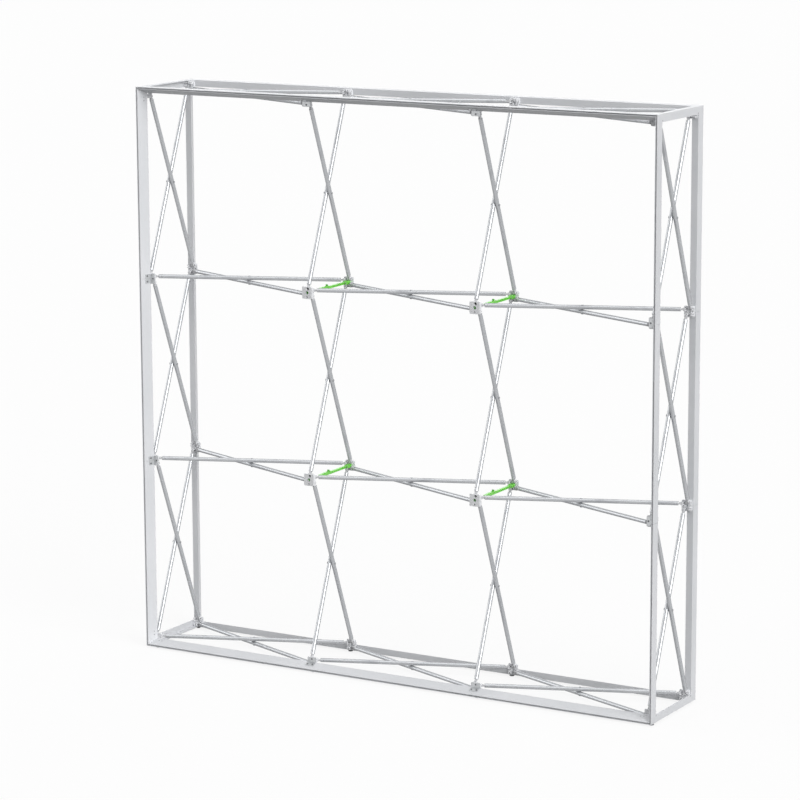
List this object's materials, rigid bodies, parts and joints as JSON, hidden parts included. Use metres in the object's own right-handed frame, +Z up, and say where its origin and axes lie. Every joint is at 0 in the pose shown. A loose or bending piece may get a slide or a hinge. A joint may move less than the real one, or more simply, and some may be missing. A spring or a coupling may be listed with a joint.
{
  "type": "pop-up fabric display frame",
  "caption": "Free-standing pop-up display frame: scissor tubes between front and back hubs, grooved rails round both faces and locking arms, ready to carry stretched fabric.",
  "frame": {"origin": "on the floor, under the middle of the frame's width and depth", "axes": "+X across the display to the right as seen from its front, +Y from the front face to the back face, +Z up; the front faces -Y"},
  "size_m": [2.25, 0.385, 2.258],
  "materials": {
    "rail_aluminium": "satin anodised silver extrusion",
    "tube_aluminium": "bright drawn round tube",
    "hub_plastic": "moulded light grey nylon",
    "plug_plastic": "moulded light grey nylon",
    "green_plastic": "moulded lime green nylon",
    "latch_plastic": "moulded green nylon, a darker shade",
    "catch_plastic": "pale moulded acetal",
    "rivet_steel": "plated steel pins and rivets",
    "key_aluminium": "plain milled bar, hidden in the rails",
    "bracket_steel": "zinc plated steel",
    "screw_steel": "zinc plated steel screws",
    "foot_plastic": "grey rubbery pads"
  },
  "bodies": {
    "frame": {"front_hubs_row_1": "hub_plastic", "front_hubs_row_2": "hub_plastic", "front_hubs_row_3": "hub_plastic", "front_hubs_row_4": "hub_plastic", "back_hubs_row_1": "hub_plastic", "back_hubs_row_2": "hub_plastic", "back_hubs_row_3": "hub_plastic", "back_hubs_row_4": "hub_plastic", "row_1_scissor_1": "tube_aluminium", "row_1_scissor_2": "tube_aluminium", "row_1_scissor_3": "tube_aluminium", "row_2_scissor_1": "tube_aluminium", "row_2_scissor_2": "tube_aluminium", "row_2_scissor_3": "tube_aluminium", "row_3_scissor_1": "tube_aluminium", "row_3_scissor_2": "tube_aluminium", "row_3_scissor_3": "tube_aluminium", "row_4_scissor_1": "tube_aluminium", "row_4_scissor_2": "tube_aluminium", "row_4_scissor_3": "tube_aluminium", "column_1_scissor_1": "tube_aluminium", "column_1_scissor_2": "tube_aluminium", "column_1_scissor_3": "tube_aluminium", "column_2_scissor_1": "tube_aluminium", "column_2_scissor_2": "tube_aluminium", "column_2_scissor_3": "tube_aluminium", "column_3_scissor_1": "tube_aluminium", "column_3_scissor_2": "tube_aluminium", "column_3_scissor_3": "tube_aluminium", "column_4_scissor_1": "tube_aluminium", "column_4_scissor_2": "tube_aluminium", "column_4_scissor_3": "tube_aluminium", "front_rail_bottom": "rail_aluminium", "front_rail_top": "rail_aluminium", "front_rail_left": "rail_aluminium", "front_rail_right": "rail_aluminium", "back_rail_bottom": "rail_aluminium", "back_rail_top": "rail_aluminium", "back_rail_left": "rail_aluminium", "back_rail_right": "rail_aluminium", "corner_bar_bottom_left": "rail_aluminium", "corner_bar_bottom_right": "rail_aluminium", "corner_bar_top_left": "rail_aluminium", "corner_bar_top_right": "rail_aluminium", "lock_fixings": "green_plastic", "lock_catches": "catch_plastic", "tube_end_plugs": "plug_plastic", "pivot_rivets": "rivet_steel", "rail_keys": "key_aluminium", "rail_brackets": "bracket_steel", "frame_screws": "screw_steel", "feet": "foot_plastic"},
    "arm_1": {"lock_arm_1": "green_plastic"},
    "arm_2": {"lock_arm_2": "green_plastic"},
    "arm_3": {"lock_arm_3": "green_plastic"},
    "arm_4": {"lock_arm_4": "green_plastic"},
    "latch_1": {"lock_latch_1": "latch_plastic"},
    "latch_2": {"lock_latch_2": "latch_plastic"},
    "latch_3": {"lock_latch_3": "latch_plastic"},
    "latch_4": {"lock_latch_4": "latch_plastic"}
  },
  "joints": [
    {"name": "arm_1_hinge", "type": "hinge", "parent": "frame", "child": "arm_1", "pos_m": [-0.36667, 0.1135, 0.76633], "axis": [-1, 0, 0], "range_deg": [0, 60]},
    {"name": "arm_2_hinge", "type": "hinge", "parent": "frame", "child": "arm_2", "pos_m": [0.36667, 0.1135, 0.76633], "axis": [-1, 0, 0], "range_deg": [0, 60]},
    {"name": "arm_3_hinge", "type": "hinge", "parent": "frame", "child": "arm_3", "pos_m": [-0.36667, 0.1135, 1.49967], "axis": [-1, 0, 0], "range_deg": [0, 60]},
    {"name": "arm_4_hinge", "type": "hinge", "parent": "frame", "child": "arm_4", "pos_m": [0.36667, 0.1135, 1.49967], "axis": [-1, 0, 0], "range_deg": [0, 60]},
    {"name": "latch_1_pivot", "type": "hinge", "parent": "arm_1", "child": "latch_1", "pos_m": [-0.36667, -0.0165, 0.76783], "axis": [-1, 0, 0], "range_deg": [0, 12], "stiffness_Nm_per_rad": 0.02, "springref_deg": -5.73},
    {"name": "latch_2_pivot", "type": "hinge", "parent": "arm_2", "child": "latch_2", "pos_m": [0.36667, -0.0165, 0.76783], "axis": [-1, 0, 0], "range_deg": [0, 12], "stiffness_Nm_per_rad": 0.02, "springref_deg": -5.73},
    {"name": "latch_3_pivot", "type": "hinge", "parent": "arm_3", "child": "latch_3", "pos_m": [-0.36667, -0.0165, 1.50117], "axis": [-1, 0, 0], "range_deg": [0, 12], "stiffness_Nm_per_rad": 0.02, "springref_deg": -5.73},
    {"name": "latch_4_pivot", "type": "hinge", "parent": "arm_4", "child": "latch_4", "pos_m": [0.36667, -0.0165, 1.50117], "axis": [-1, 0, 0], "range_deg": [0, 12], "stiffness_Nm_per_rad": 0.02, "springref_deg": -5.73}
  ]
}
